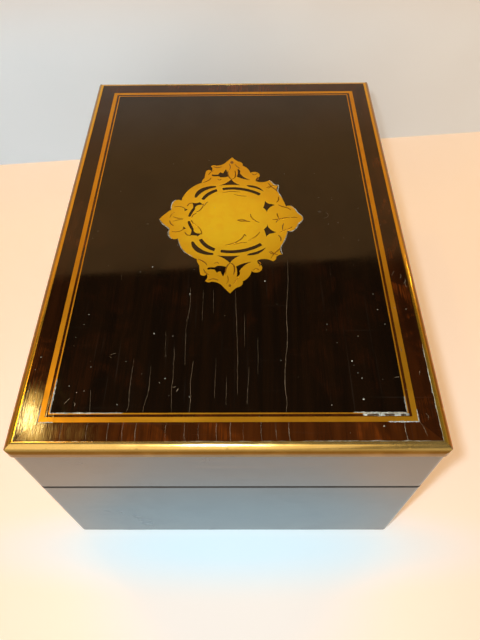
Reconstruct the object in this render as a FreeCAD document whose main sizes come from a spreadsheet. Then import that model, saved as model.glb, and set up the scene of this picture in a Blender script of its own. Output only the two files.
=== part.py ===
import FreeCAD
import Part
import os
from math import cos, radians

# A brass-bound wooden box with a hinged lid and a hidden sliding bolt.
# X runs along the length, the front is at -Y, Z is up, and the origin is under the middle of the box.

doc = FreeCAD.newDocument("brass_bound_box")
dims = doc.addObject("Spreadsheet::Sheet", "dims")

# Driving sizes in millimetres and degrees
sizes = (
    ("box_length", 300, "length over the edge moulding"),
    ("box_depth", 210, "front to back over the edge moulding"),
    ("box_height", 145, "table to top of lid"),
    ("seam_height", 91, "table to rim of case"),
    ("seam_gap", 0.4, "joint between rim and lid"),
    ("board", 12, "thickness of the side boards"),
    ("corner_radius", 3.4, "rounding of the upright corners of the boards"),
    ("arris", 0.9, "softened outer edges of the boards along the joint"),
    ("moulding_proud", 0.8, "edge moulding outside the boards"),
    ("moulding_width", 4.8, "edge moulding seen from above"),
    ("moulding_height", 9, "edge moulding seen from the side"),
    ("moulding_round", 4.4, "rounding of the moulding's upper edge"),
    ("moulding_return", 1.8, "rounding of the moulding's lower edge"),
    ("pin_radius", 0.7, "pins that hold the moulding"),
    ("pin_length", 9, "length of those pins"),
    ("pin_spacing", 42, "from pin to pin along the moulding"),
    ("veneer", 1.2, "thickness of veneer and inlay on the lid"),
    ("inlay_drop", 0.15, "veneer and inlay below the top of the moulding"),
    ("string_inset", 14.5, "box edge to wide brass string"),
    ("wide_string", 2.7, "width of the wide brass string"),
    ("fillet_width", 1.4, "veneer between the two strings"),
    ("thin_string", 0.7, "width of the thin brass string"),
    ("cartouche_length", 117, "inlaid ornament along the lid"),
    ("floor_thickness", 8, "floor board"),
    ("floor_rebate", 5, "floor board let into the side boards"),
    ("lining", 1.5, "covered lining cards"),
    ("lining_drop", 1, "lining card below the rim"),
    ("hinge_place", 80, "middle of box to middle of hinge"),
    ("hinge_length", 40, "hinge along the back"),
    ("leaf_width", 9, "hinge leaf across the rim"),
    ("leaf_thickness", 1.6, "hinge leaf"),
    ("leaf_gap", 0.2, "between closed hinge leaves"),
    ("knuckle_radius", 2.6, "hinge barrel"),
    ("knuckle_gap", 0.25, "between neighbouring knuckles"),
    ("knuckle_play", 0.3, "round a knuckle"),
    ("hinge_pin_radius", 1.2, "hinge pin"),
    ("hinge_pin_play", 0.05, "round the hinge pin"),
    ("heel_radius", 5.4, "stop heel behind the hinge"),
    ("stop_angle", 102, "opening at which the heels meet"),
    ("screw_head", 2.3, "radius of a countersunk screw head"),
    ("screw_head_depth", 1.3, "depth of that head"),
    ("screw_shank", 1.1, "radius of the screw's shank"),
    ("screw_length", 9, "length of the screws"),
    ("lock_depth", 8, "lock hollow from the inner face of the front board"),
    ("plate_thickness", 1.5, "rim plate and strike plate"),
    ("plate_width", 10, "rim plate and strike plate across the rim"),
    ("plate_lap", 10, "plates past each end of the lock hollow"),
    ("cap_thickness", 1, "plate that closes the lock hollow"),
    ("cap_lap", 8, "cap plate below the bolt"),
    ("hasp_place", 42, "middle of box to hasp"),
    ("hasp_thickness", 2.5, "hasp along the box"),
    ("hasp_width", 5, "hasp across the rim"),
    ("hasp_wall", 1.7, "hasp below its window"),
    ("hasp_play", 0.9, "round a hasp in the rim plate"),
    ("tongue_drop", 9.9, "rim to middle of bolt tongue"),
    ("tongue_height", 3.8, "bolt tongue"),
    ("tongue_play", 0.7, "above and below the tongue in its window"),
    ("bolt_thickness", 2, "bolt across the rim"),
    ("bolt_bar", 6, "height of the bolt's bar"),
    ("bolt_play", 0.4, "beside the bolt in its window"),
    ("slide_play", 0.1, "under the bolt"),
    ("post_width", 7, "upright that carries a tongue"),
    ("bolt_travel", 8, "slide from open to locked"),
    ("end_play", 1, "past each end of the bolt's travel"),
    ("tail_width", 12, "bolt tail and slip along the box"),
    ("slip_height", 7, "top of the slip above the table"),
    ("slip_rise", 0.4, "slip above the table"),
    ("slip_play", 0.6, "slip to the sides of its slot"),
    ("groove_radius", 1.2, "finger-nail groove under the slip"),
)
for row, (alias, value, note) in enumerate(sizes, start=1):
    dims.set(f"A{row}", note)
    dims.set(f"B{row}", str(value))
    dims.setAlias(f"B{row}", alias)
doc.recompute()

# Places that follow from the driving sizes
half_length = "(dims.box_length / 2)"
half_depth = "(dims.box_depth / 2)"
side_x = "(dims.box_length / 2 - dims.moulding_proud)"
side_y = "(dims.box_depth / 2 - dims.moulding_proud)"
inner_x = f"({side_x} - dims.board)"
inner_y = f"({side_y} - dims.board)"
lid_base = "(dims.seam_height + dims.seam_gap)"
lid_shoulder = "(dims.box_height - dims.moulding_height)"
deck = "(dims.box_height - dims.inlay_drop)"
veneer_base = f"({deck} - dims.veneer)"
fillet_inset = "(dims.string_inset + dims.wide_string)"
thin_inset = f"({fillet_inset} + dims.fillet_width)"
field_inset = f"({thin_inset} + dims.thin_string)"
mitre_reach = f"({field_inset} + dims.board)"
sides = {"front": 0, "right": 90, "back": 180, "left": 270}
touch = 0.001
nodes = []


def bind(thing, **expressions):
    for name, expression in expressions.items():
        thing.setExpression(name.replace("__", "."), expression)
    return thing


def place(thing, x, y, z):
    return bind(thing, Placement__Base__x=x, Placement__Base__y=y, Placement__Base__z=z)


def block(name, x, y, z, kind="Part::Box", body=None):
    # x, y and z are pairs: the low and the high face
    thing = body.newObject(kind, name) if body else doc.addObject(kind, name)
    spans = [f"{high} - ({low})" for low, high in (x, y, z)]
    bind(thing, Length=spans[0], Width=spans[1], Height=spans[2])
    return place(thing, x[0], y[0], z[0])


def both(half):
    return (f"-{half}", half)


def about(middle, half):
    return (f"{middle} - {half}", f"{middle} + {half}")


def rod(name, radius, length, x, y, z, turn):
    thing = doc.addObject("Part::Cylinder", name)
    thing.Placement.Rotation = turn
    bind(thing, Radius=radius, Height=length)
    return place(thing, x, y, z)


def cut(name, base, *tools):
    for count, tool in enumerate(tools):
        thing = doc.addObject("Part::Cut", f"{name}_cut_{count}")
        thing.Base = base
        thing.Tool = tool
        base = thing
    return base


def fuse(name, *things):
    thing = doc.addObject("Part::MultiFuse", name)
    thing.Shapes = list(things)
    thing.Refine = True
    return thing


def common(name, base, tool):
    thing = doc.addObject("Part::Common", name)
    thing.Base = base
    thing.Tool = tool
    return thing


def group(name, things):
    thing = doc.addObject("Part::Compound", name)
    thing.Links = list(things)
    return thing


def node(label, thing):
    thing.Label = label
    nodes.append(thing)
    return thing


def turn_about(axis, angle):
    return FreeCAD.Rotation(FreeCAD.Vector(*axis), angle)


along_x = turn_about((0, 1, 0), 90)
upward = turn_about((1, 0, 0), 0)
downward = turn_about((1, 0, 0), 180)
forward = turn_about((1, 0, 0), 90)


# Mitred frames: a closed ring is divided at its corners by four wedges
def mitre_wedge(side, angle):
    across, along = (half_depth, half_length) if angle % 180 == 0 else (half_length, half_depth)
    wedge = doc.addObject("Part::Wedge", f"mitre_{side}")
    wedge.Placement.Rotation = turn_about((0, 0, 1), angle)
    wide = f"{along} + dims.board"
    narrow = f"{along} - {mitre_reach}"
    bind(wedge, Ymin=f"-({across} + dims.board)", Ymax=f"-({across} - {mitre_reach})")
    bind(wedge, Xmin=f"-({wide})", Xmax=wide, X2min=f"-({narrow})", X2max=narrow)
    bind(wedge, Zmin="-dims.board", Z2min="-dims.board")
    return bind(wedge, Zmax="dims.box_height + dims.board", Z2max="dims.box_height + dims.board")


wedges = {side: mitre_wedge(side, angle) for side, angle in sides.items()}


def mitred(name, ring):
    return {side: common(f"{name}_{side}_blank", ring, wedge) for side, wedge in wedges.items()}


def rounded(body, base, name, radius, chosen):
    doc.recompute()
    edges = [f"Edge{count}" for count, edge in enumerate(base.Shape.Edges, start=1) if chosen(edge.BoundBox)]
    rounding = body.newObject("PartDesign::Fillet", name)
    rounding.Base = (base, edges)
    return bind(rounding, Radius=radius)


def upright(bounds):
    return bounds.ZLength > 1


def lying_at(height):
    return lambda bounds: abs(bounds.ZMin - height) < touch and abs(bounds.ZMax - height) < touch


def board_ring(name, z, joint):
    body = doc.addObject("PartDesign::Body", name)
    outside = block(f"{name}_outside", both(side_x), both(side_y), z, "PartDesign::AdditiveBox", body)
    corners = rounded(body, outside, f"{name}_corners", "dims.corner_radius", upright)
    rounded(body, corners, f"{name}_arris", "dims.arris", lying_at(joint))
    block(f"{name}_inside", both(inner_x), both(inner_y), z, "PartDesign::SubtractiveBox", body)
    return body


def inlay_ring(name, outer_inset, inner_inset):
    z = (veneer_base, deck)
    ends = [(both(f"({half_length} - {inset})"), both(f"({half_depth} - {inset})"))
            for inset in (outer_inset, inner_inset)]
    return cut(name, block(f"{name}_outside", *ends[0], z), block(f"{name}_inside", *ends[1], z))


# Countersunk screws: x, y and z give the middle of the head's face
def screw(name, x, y, z, turn):
    head = doc.addObject("Part::Cone", f"{name}_head")
    head.Placement.Rotation = turn
    bind(head, Radius1="dims.screw_head", Radius2="dims.screw_shank", Height="dims.screw_head_depth")
    place(head, x, y, z)
    shank = rod(f"{name}_shank", "dims.screw_shank", "dims.screw_length", x, y, z, turn)
    return fuse(name, head, shank)


# Lock sizes, measured from the rim downwards and from the inner face of the front board
front_face = f"-{inner_y}"
lock_y = f"(-({inner_y} + (dims.lock_depth + dims.cap_thickness) / 2))"
tongue_z = "(dims.seam_height - dims.tongue_drop)"
window_z = about(tongue_z, "(dims.tongue_height / 2 + dims.tongue_play)")
hasp_foot = f"({window_z[0]} - dims.hasp_wall)"
bar_top = f"({hasp_foot} - dims.tongue_play)"
bar_foot = f"({bar_top} - dims.bolt_bar)"
tongue_tip = "(dims.hasp_thickness / 2 + dims.tongue_play)"
post_face = f"({tongue_tip} + dims.bolt_travel)"
post_back = f"({post_face} + dims.post_width)"
hollow_half = f"(dims.hasp_place + {post_back} + dims.end_play)"
plate_half = f"({hollow_half} + dims.plate_lap)"
plate_screw_x = f"({hollow_half} + dims.plate_lap / 2)"
hollow_y = (f"-({inner_y} + dims.lock_depth)", front_face)
plate_y = (f"-({inner_y} + dims.plate_width)", front_face)
bolt_y = about(lock_y, "dims.bolt_thickness / 2")
rim_plate_z = ("(dims.seam_height - dims.plate_thickness)", "dims.seam_height")
strike_z = (lid_base, f"({lid_base} + dims.plate_thickness)")
channel_x = ("-(dims.tail_width / 2 + dims.end_play)",
             "(dims.tail_width / 2 + dims.bolt_travel + dims.end_play)")
hasp_places = {"left": "-dims.hasp_place", "right": "dims.hasp_place"}

# Case: four mitred boards round a floor
case_ring = board_ring("case_ring", ("0", "dims.seam_height"), dims.seam_height)
rebate_x = both(f"({inner_x} + dims.floor_rebate)")
rebate_y = both(f"({inner_y} + dims.floor_rebate)")
floor_z = ("0", "dims.floor_thickness")
block("case_rebate", rebate_x, rebate_y, floor_z, "PartDesign::SubtractiveBox", case_ring)
case_boards = mitred("case", case_ring)
lid_ring = board_ring("lid_ring", (lid_base, lid_shoulder), dims.seam_height + dims.seam_gap)
lid_boards = mitred("lid", lid_ring)
tail_channel = block("tail_channel", channel_x, hollow_y, ("0", bar_foot))

# Lock hollow, plates and their screws
hollow_z = (f"{bar_foot} - dims.slide_play", "dims.seam_height")
bolt_hollow = block("bolt_hollow", both(hollow_half), hollow_y, hollow_z)
cap_z = (f"({bar_foot} - dims.cap_lap)", rim_plate_z[0])
cap_y = (f"-({inner_y} + dims.cap_thickness)", front_face)
cap_plate = block("cap_plate_blank", both(plate_half), cap_y, cap_z)
rim_plate = block("rim_plate_blank", both(plate_half), plate_y, rim_plate_z)
strike_blank = block("strike_plate_blank", both(plate_half), plate_y, strike_z)
screw_ends = {"left": f"-{plate_screw_x}", "right": plate_screw_x}
rim_screws = [screw(f"rim_screw_{end}", x, lock_y, rim_plate_z[1], downward)
              for end, x in screw_ends.items()]
cap_screws = [screw(f"cap_screw_{end}", x, front_face, f"{bar_foot} + dims.bolt_bar / 2", forward)
              for end, x in screw_ends.items()]
strike_screws = [screw(f"strike_screw_{end}", x, lock_y, strike_z[0], upward)
                 for end, x in screw_ends.items()]

slots = []
hasps = []
windows = []
for end, x in hasp_places.items():
    slot_x = about(x, "(dims.hasp_thickness / 2 + dims.hasp_play)")
    slot_y = about(lock_y, "(dims.hasp_width / 2 + dims.hasp_play)")
    hasp_x = about(x, "dims.hasp_thickness / 2")
    hasp_y = about(lock_y, "dims.hasp_width / 2")
    window_y = about(lock_y, "(dims.bolt_thickness / 2 + dims.bolt_play)")
    slots.append(block(f"hasp_slot_{end}", slot_x, slot_y, rim_plate_z))
    hasps.append(block(f"hasp_{end}", hasp_x, hasp_y, (hasp_foot, strike_z[1])))
    windows.append(block(f"hasp_window_{end}", hasp_x, window_y, window_z))

node("lock_rim_plate", cut("lock_rim_plate", rim_plate, *slots, *rim_screws))
node("lock_cap_plate", cut("lock_cap_plate", cap_plate, *cap_screws))
strike_solid = fuse("strike_plate_solid", strike_blank, *hasps)
node("strike_plate", cut("strike_plate", strike_solid, *windows, *strike_screws))
node("lock_screws", group("lock_screws", rim_screws + cap_screws))
node("strike_screws", group("strike_screws", strike_screws))

# Sliding bolt: a bar with two tongues, and a tail that runs down to the slip under the box
bolt_bits = [block("bolt_bar_bit", (f"-dims.hasp_place - {post_back}", f"dims.hasp_place - {post_face}"),
                   bolt_y, (bar_foot, bar_top))]
for end, x in hasp_places.items():
    post_z = (bar_top, f"({tongue_z} + dims.tongue_height / 2)")
    reach_z = about(tongue_z, "dims.tongue_height / 2")
    post_x = (f"{x} - {post_back}", f"{x} - {post_face}")
    reach_x = (f"{x} - {post_face}", f"{x} - {tongue_tip}")
    bolt_bits.append(block(f"bolt_post_{end}", post_x, bolt_y, post_z))
    bolt_bits.append(block(f"bolt_tongue_{end}", reach_x, bolt_y, reach_z))
tail_x = both("(dims.tail_width / 2)")
bolt_bits.append(block("bolt_tail", tail_x, bolt_y, ("dims.slip_height", bar_foot)))
node("lock_bolt", fuse("lock_bolt", *bolt_bits))
slip_y = (f"({hollow_y[0]} + dims.slip_play)", f"({front_face} - dims.slip_play)")
slip_block = block("slip_block", tail_x, slip_y, ("dims.slip_rise", "dims.slip_height"))
nail_groove = rod("nail_groove", "dims.groove_radius", f"{slip_y[1]} - {slip_y[0]}", "0", slip_y[1],
                  "dims.slip_rise", forward)
node("secret_slip", cut("secret_slip", slip_block, nail_groove))

# Hinges: the axis lies on the back face of the boards, halfway through the seam
axis_z = "(dims.seam_height + dims.seam_gap / 2)"
leaf_low = f"({axis_z} - dims.leaf_gap / 2)"
leaf_high = f"({axis_z} + dims.leaf_gap / 2)"
leaf_y = (f"({side_y} - dims.leaf_width)", side_y)
knuckle_count = 5
screw_share = (-1, 0, 1)
heel_turns = {
    "case": FreeCAD.Rotation(FreeCAD.Vector(0, 0, -1), FreeCAD.Vector(0, 1, 0), FreeCAD.Vector(1, 0, 0), "ZXY"),
    "lid": FreeCAD.Rotation(FreeCAD.Vector(0, 0, 1), FreeCAD.Vector(0, 1, 0), FreeCAD.Vector(-1, 0, 0), "ZXY"),
}
leaf_heights = {
    "case": (f"({leaf_low} - dims.leaf_thickness)", leaf_low),
    "lid": (leaf_high, f"({leaf_high} + dims.leaf_thickness)"),
}
hinge_tools = {"case": [], "lid": []}
hinge_screws = {"case": [], "lid": []}


def knuckles(name, middle, counts, radius, spare):
    rods = []
    for count in counts:
        start = f"{middle} - dims.hinge_length / 2 + {count} * dims.hinge_length / {knuckle_count}"
        start = f"{start} + dims.knuckle_gap / 2 - {spare}"
        length = f"dims.hinge_length / {knuckle_count} - dims.knuckle_gap + 2 * {spare}"
        rods.append(rod(f"{name}_{count}", radius, length, start, side_y, axis_z, along_x))
    return rods


def hinge_leaf(end, middle, half):
    name = f"{half}_hinge_leaf_{end}"
    own = range(0, knuckle_count, 2) if half == "case" else range(1, knuckle_count, 2)
    other = [count for count in range(knuckle_count) if count not in own]
    leaf_x = about(middle, "dims.hinge_length / 2")
    flat = block(f"{name}_flat", leaf_x, leaf_y, leaf_heights[half])
    heel_start = leaf_x[0] if half == "case" else leaf_x[1]
    heel = rod(f"{name}_heel", "dims.heel_radius", "dims.hinge_length",
               heel_start, side_y, axis_z, heel_turns[half])
    bind(heel, Angle="90 - dims.stop_angle / 2")
    barrel = knuckles(f"{name}_knuckle", middle, own, "dims.knuckle_radius", "0")
    solid = fuse(f"{name}_solid", flat, heel, *barrel)
    clear_radius = "dims.knuckle_radius + dims.knuckle_play"
    clear = knuckles(f"{name}_clear", middle, other, clear_radius, "dims.knuckle_gap")
    bore = rod(f"{name}_bore", "dims.hinge_pin_radius + dims.hinge_pin_play", "dims.hinge_length",
               leaf_x[0], side_y, axis_z, along_x)
    head_z, turn = (leaf_low, downward) if half == "case" else (leaf_high, upward)
    screws = [screw(f"{name}_screw_{place_count}", f"{middle} + {share} * dims.hinge_length / 3",
                    f"{side_y} - dims.leaf_width * 0.55", head_z, turn)
              for place_count, share in enumerate(screw_share)]
    hinge_screws[half].extend(screws)
    over = (leaf_heights[half][0], "dims.seam_height") if half == "case" else (lid_base, leaf_heights[half][1])
    hinge_tools[half].append(block(f"{name}_housing", leaf_x, leaf_y, over))
    hinge_tools[half].append(rod(f"{name}_groove", "dims.knuckle_radius + dims.knuckle_play",
                                 "dims.hinge_length + 2 * dims.knuckle_play",
                                 f"{leaf_x[0]} - dims.knuckle_play", side_y, axis_z, along_x))
    node(name, cut(name, solid, *clear, bore, *screws))


for end, middle in {"left": "-dims.hinge_place", "right": "dims.hinge_place"}.items():
    for half in ("case", "lid"):
        hinge_leaf(end, middle, half)
    node(f"hinge_pin_{end}", rod(f"hinge_pin_{end}", "dims.hinge_pin_radius", "dims.hinge_length",
                                 f"{middle} - dims.hinge_length / 2", side_y, axis_z, along_x))
for half, screws in hinge_screws.items():
    node(f"{half}_hinge_screws", group(f"{half}_hinge_screws", screws))

# The boards, cut for the lock and the hinges
node("case_front", cut("case_front", case_boards["front"], rim_plate, bolt_hollow, cap_plate, tail_channel,
                       *rim_screws, *cap_screws))
node("case_back", cut("case_back", case_boards["back"], *hinge_tools["case"], *hinge_screws["case"]))
node("lid_front", cut("lid_front", lid_boards["front"], strike_blank, *strike_screws))
node("lid_back", cut("lid_back", lid_boards["back"], *hinge_tools["lid"], *hinge_screws["lid"]))
for end in ("left", "right"):
    node(f"case_{end}", case_boards[end])
    node(f"lid_{end}", lid_boards[end])
floor_blank = block("floor_blank", rebate_x, rebate_y, floor_z)
node("case_floor", cut("case_floor", floor_blank, tail_channel))

# Lining cards: the long ones run from end to end, the short ones stand between them
card_y = f"({inner_y} - dims.lining)"
card_x = f"({inner_x} - dims.lining)"
card_spans = {
    "front": (both(inner_x), (front_face, f"-{card_y}")),
    "back": (both(inner_x), (card_y, inner_y)),
    "left": ((f"-{inner_x}", f"-{card_x}"), both(card_y)),
    "right": ((card_x, inner_x), both(card_y)),
}
floor_card_z = ("dims.floor_thickness", "(dims.floor_thickness + dims.lining)")
top_card_z = (f"({lid_shoulder} - dims.lining)", lid_shoulder)
case_card_z = (floor_card_z[1], "(dims.seam_height - dims.lining_drop)")
lid_card_z = (f"({lid_base} + dims.lining_drop)", top_card_z[0])
for side, (x, y) in card_spans.items():
    node(f"case_lining_{side}", block(f"case_lining_{side}", x, y, case_card_z))
    node(f"lid_lining_{side}", block(f"lid_lining_{side}", x, y, lid_card_z))
node("floor_lining", block("floor_lining", both(inner_x), both(inner_y), floor_card_z))
node("lid_top_lining", block("lid_top_lining", both(inner_x), both(inner_y), top_card_z))

# Lid top: a board planted on the lid boards, inside the brass edge moulding
pin_rods = {}
round_share = 1 - cos(radians(45))
pin_height = f"(dims.box_height - {round_share} * dims.moulding_round)"
for side, angle in sides.items():
    lengthwise = angle % 180 == 0
    along, across = (half_length, half_depth) if lengthwise else (half_depth, half_length)
    pin_count = round((dims.box_length if lengthwise else dims.box_depth) / dims.pin_spacing)
    face = f"({across} - {round_share} * dims.moulding_round)"
    spots = [f"2 * {along} * {count - (pin_count - 1) / 2} / {pin_count}" for count in range(pin_count)]
    turn = turn_about((0, 0, 1), angle) * turn_about((1, 0, 0), -135)
    corner = {
        "front": (None, f"-{face}"),
        "back": (None, face),
        "left": (f"-{face}", None),
        "right": (face, None),
    }
    pin_rods[side] = [rod(f"pin_{side}_{count}", "dims.pin_radius", "dims.pin_length",
                          corner[side][0] or spot, corner[side][1] or spot, pin_height, turn)
                      for count, spot in enumerate(spots)]
all_pins = [pin for pins in pin_rods.values() for pin in pins]
node("moulding_pins", group("moulding_pins", all_pins))
pin_tool = group("pin_tool", all_pins)
top_x = both(f"({half_length} - dims.moulding_width)")
top_y = both(f"({half_depth} - dims.moulding_width)")
lid_top_blank = block("lid_top_blank", top_x, top_y, (lid_shoulder, veneer_base))
node("lid_top", cut("lid_top", lid_top_blank, pin_tool))

moulding = doc.addObject("PartDesign::Body", "moulding_ring")
moulding_z = (lid_shoulder, "dims.box_height")
moulding_block = block("moulding_block", both(half_length), both(half_depth), moulding_z,
                       "PartDesign::AdditiveBox", moulding)
upper_round = rounded(moulding, moulding_block, "moulding_upper", "dims.moulding_round",
                      lying_at(dims.box_height))
rounded(moulding, upper_round, "moulding_lower", "dims.moulding_return",
        lying_at(dims.box_height - dims.moulding_height))
block("moulding_inside", top_x, top_y, moulding_z, "PartDesign::SubtractiveBox", moulding)
plan = doc.addObject("PartDesign::Body", "moulding_plan")
plan_block = block("plan_block", both(half_length), both(half_depth), moulding_z,
                   "PartDesign::AdditiveBox", plan)
rounded(plan, plan_block, "plan_corners", "dims.corner_radius + dims.moulding_proud", upright)
for side, strip in mitred("moulding", common("moulding_filed", moulding, plan)).items():
    node(f"moulding_{side}", cut(f"moulding_{side}", strip, group(f"pin_tool_{side}", pin_rods[side])))

# Veneer and brass strings on the lid, mitred at the corners
border = mitred("border", inlay_ring("border_ring", "dims.moulding_width", "dims.string_inset"))
wide = mitred("wide_string", inlay_ring("wide_ring", "dims.string_inset", fillet_inset))
fillet = mitred("fillet", inlay_ring("fillet_ring", fillet_inset, thin_inset))
thin = mitred("thin_string", inlay_ring("thin_ring", thin_inset, field_inset))
for side in sides:
    node(f"border_veneer_{side}", border[side])
    node(f"wide_string_{side}", wide[side])
    node(f"thin_string_{side}", thin[side])
node("fillet_veneer", group("fillet_veneer", fillet.values()))

# Inlaid ornament. Points are (towards the front, along the lid), drawn for one half and mirrored.
# They come in turn as the end of an arc and a point on the next arc.
drawn_length = 117.0
outline = (
    (-44.3, 0), (-41.4, 4.2), (-37.4, 8.2), (-37.6, 11.6), (-36.9, 14.6), (-35.2, 16.7), (-31.7, 16.4),
    (-28.0, 25.8), (-19.6, 33.0), (-19.1, 35.6), (-17.9, 37.8), (-17.6, 41.2), (-17.2, 43.8), (-15.6, 45.6),
    (-13.5, 44.4), (-12.9, 46.6), (-14.1, 49.2), (-13.0, 50.3), (-10.5, 49.9), (-7.4, 50.6), (-4.8, 52.4),
    (-2.6, 55.3), (0.2, 58.5), (2.2, 55.9), (4.4, 54.0), (6.7, 52.6), (7.2, 49.9), (10.5, 46.9), (12.3, 42.3),
    (16.6, 43.0), (18.0, 38.2), (16.3, 36.9), (15.8, 34.2), (19.6, 33.2), (24.6, 35.0), (26.2, 33.9),
    (26.8, 31.6), (28.4, 30.2), (30.4, 29.8), (29.2, 27.6), (29.6, 24.4), (32.3, 18.0), (34.4, 10.6),
    (37.0, 11.0), (39.9, 8.0), (41.2, 5.0), (43.6, 2.2), (44.1, 1.1), (44.3, 0),
)
piercings = (
    ((-19.0, 17.9), (-15.4, 23.4), (-9.7, 26.9), (-9.2, 25.8), (-9.2, 24.6), (-13.8, 21.4), (-17.1, 17.0),
     (-18.2, 17.1)),
    ((-5.6, 28.0), (5.0, 28.3), (18.6, 22.7), (18.4, 21.5), (17.3, 20.7), (6.3, 25.6), (-5.4, 25.8),
     (-5.9, 27.0)),
    ((-23.5, 19.3), (-22.0, 25.0), (-16.5, 29.0), (-13.4, 29.9), (-10.2, 29.8), (-10.0, 29.1), (-10.4, 28.4),
     (-17.4, 25.2), (-21.9, 19.6), (-22.7, 19.0)),
    ((-8.0, 30.3), (-3.6, 32.8), (-0.2, 36.2), (2.1, 33.0), (5.8, 30.5), (-1.2, 30.8)),
    ((9.6, 30.3), (15.2, 29.6), (20.8, 24.2), (17.0, 26.7), (12.4, 28.5), (10.6, 29.2)),
    ((-17.3, 12.4), (-18.8, 13.6), (-19.9, 14.9), (-22.2, 14.0), (-24.9, 14.5), (-24.1, 12.2), (-24.0, 9.6),
     (-25.6, 6.4), (-26.7, 2.4), (-26.0, 1.9), (-25.2, 2.2), (-23.9, 5.6), (-22.6, 8.8), (-22.0, 11.2),
     (-20.2, 12.3), (-18.8, 12.5)),
    ((-30.0, 9.8), (-28.8, 9.0), (-27.2, 8.3), (-28.4, 7.3), (-29.2, 6.5), (-29.3, 8.2)),
    ((21.4, 15.6), (22.3, 14.2), (23.8, 13.0), (25.6, 12.6), (27.6, 11.7), (25.4, 10.6), (24.0, 9.2),
     (22.9, 7.4), (22.4, 5.2), (21.6, 7.4), (20.1, 9.3), (20.9, 12.4)),
    ((-12.8, 41.2), (-10.8, 40.9), (-8.7, 41.3), (-8.0, 42.8), (-7.4, 43.6), (-6.6, 42.6), (-5.4, 42.6),
     (-4.8, 44.6), (-3.9, 46.3), (-2.9, 42.9), (-2.2, 39.2), (-4.8, 38.3), (-7.6, 38.3), (-8.4, 39.1),
     (-9.2, 39.4), (-11.2, 39.3), (-12.6, 39.6), (-13.2, 40.4)),
    ((3.7, 46.5), (5.4, 45.0), (5.3, 42.4), (7.8, 38.6), (12.4, 35.4), (8.0, 36.4), (3.3, 38.9), (4.0, 42.6)),
)


def arcs(points, mirror):
    scale = dims.cartouche_length / drawn_length
    level = dims.box_height - dims.inlay_drop - dims.veneer
    spots = [FreeCAD.Vector(mirror * along * scale, -front * scale, level) for front, along in points]
    return [Part.Arc(*spots[start:start + 3]).toShape() for start in range(0, len(spots) - 2, 2)]


def inlay(edges):
    face = Part.Face(Part.Wire(Part.__sortEdges__(edges)))
    return face.extrude(FreeCAD.Vector(0, 0, dims.veneer))


blank = doc.addObject("Part::Feature", "cartouche_blank")
blank.Shape = inlay(arcs(outline, 1) + arcs(outline, -1))
infill = doc.addObject("Part::Feature", "cartouche_infill")
infill_bits = [inlay(arcs(points + points[:1], mirror)) for points in piercings for mirror in (1, -1)]
infill.Shape = Part.Compound(infill_bits)
node("cartouche", cut("cartouche", blank, infill))
node("cartouche_infill", infill)
field_x = both(f"({half_length} - {field_inset})")
field_y = both(f"({half_depth} - {field_inset})")
field_blank = block("field_blank", field_x, field_y, (veneer_base, deck))
node("field_veneer", cut("field_veneer", field_blank, blank))

# Every object has to be sound before anything is written
doc.recompute()
faults = [thing.Label for thing in doc.Objects if "Invalid" in thing.State or "Error" in thing.State]
faults += [thing.Label for thing in nodes if thing.Shape.isNull() or not thing.Shape.isValid()]
if faults:
    raise RuntimeError(f"unsound objects: {faults}")
os.makedirs("parts", exist_ok=True)
for thing in nodes:
    thing.Shape.exportStep(f"parts/{thing.Label}.step")
print(f"{len(nodes)} nodes, {sum(len(thing.Shape.Solids) for thing in nodes)} solids")
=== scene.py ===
import math
import random

import bmesh
import bpy
from mathutils import Euler, Matrix, Vector
from mathutils.geometry import interpolate_bezier


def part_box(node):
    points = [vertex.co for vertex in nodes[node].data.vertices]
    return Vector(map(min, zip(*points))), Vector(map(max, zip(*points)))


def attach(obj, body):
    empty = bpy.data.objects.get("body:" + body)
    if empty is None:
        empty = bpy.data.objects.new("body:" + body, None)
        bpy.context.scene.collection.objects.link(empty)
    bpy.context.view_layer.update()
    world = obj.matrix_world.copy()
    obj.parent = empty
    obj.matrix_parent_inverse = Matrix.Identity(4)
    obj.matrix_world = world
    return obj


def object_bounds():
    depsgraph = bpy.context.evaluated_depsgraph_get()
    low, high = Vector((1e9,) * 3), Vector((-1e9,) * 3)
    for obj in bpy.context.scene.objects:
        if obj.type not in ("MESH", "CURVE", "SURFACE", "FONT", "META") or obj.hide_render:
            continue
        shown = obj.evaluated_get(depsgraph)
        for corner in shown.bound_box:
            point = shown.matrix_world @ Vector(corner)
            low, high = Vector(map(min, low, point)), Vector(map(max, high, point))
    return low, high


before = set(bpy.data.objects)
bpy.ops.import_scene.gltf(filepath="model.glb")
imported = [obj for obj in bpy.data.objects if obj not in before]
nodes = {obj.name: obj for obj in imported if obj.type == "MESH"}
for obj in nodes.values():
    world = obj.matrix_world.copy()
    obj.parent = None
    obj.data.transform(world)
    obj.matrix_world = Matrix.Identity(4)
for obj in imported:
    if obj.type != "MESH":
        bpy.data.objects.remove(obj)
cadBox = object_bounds()
mm = 0.001
up = Vector((0, 0, 1))
dice = random.Random(7)
print("frame loaded:", len(nodes), "nodes")

# the lid's upper face, and how far the joints on it lie from the middle: X along the lid, Y across it
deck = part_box("field_veneer")[1].z
joints = {
    "field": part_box("field_veneer")[1] / mm,
    "string": Vector((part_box("wide_string_right")[1].x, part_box("wide_string_back")[1].y, deck)) / mm,
    "moulding": Vector((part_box("border_veneer_right")[1].x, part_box("border_veneer_back")[1].y, deck)) / mm,
}
boxHigh = cadBox[1]
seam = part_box("case_front")[1].z
cameraLook = {
    "place": (-0.24192, -0.00856, 0.38153),
    "turn": (34.946, 0.598, -89.874),
    "lens": 30.267,
    "sensor": 36.0,
    "clip": 0.01,
}
picture = {"width": 480, "height": 640}


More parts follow.
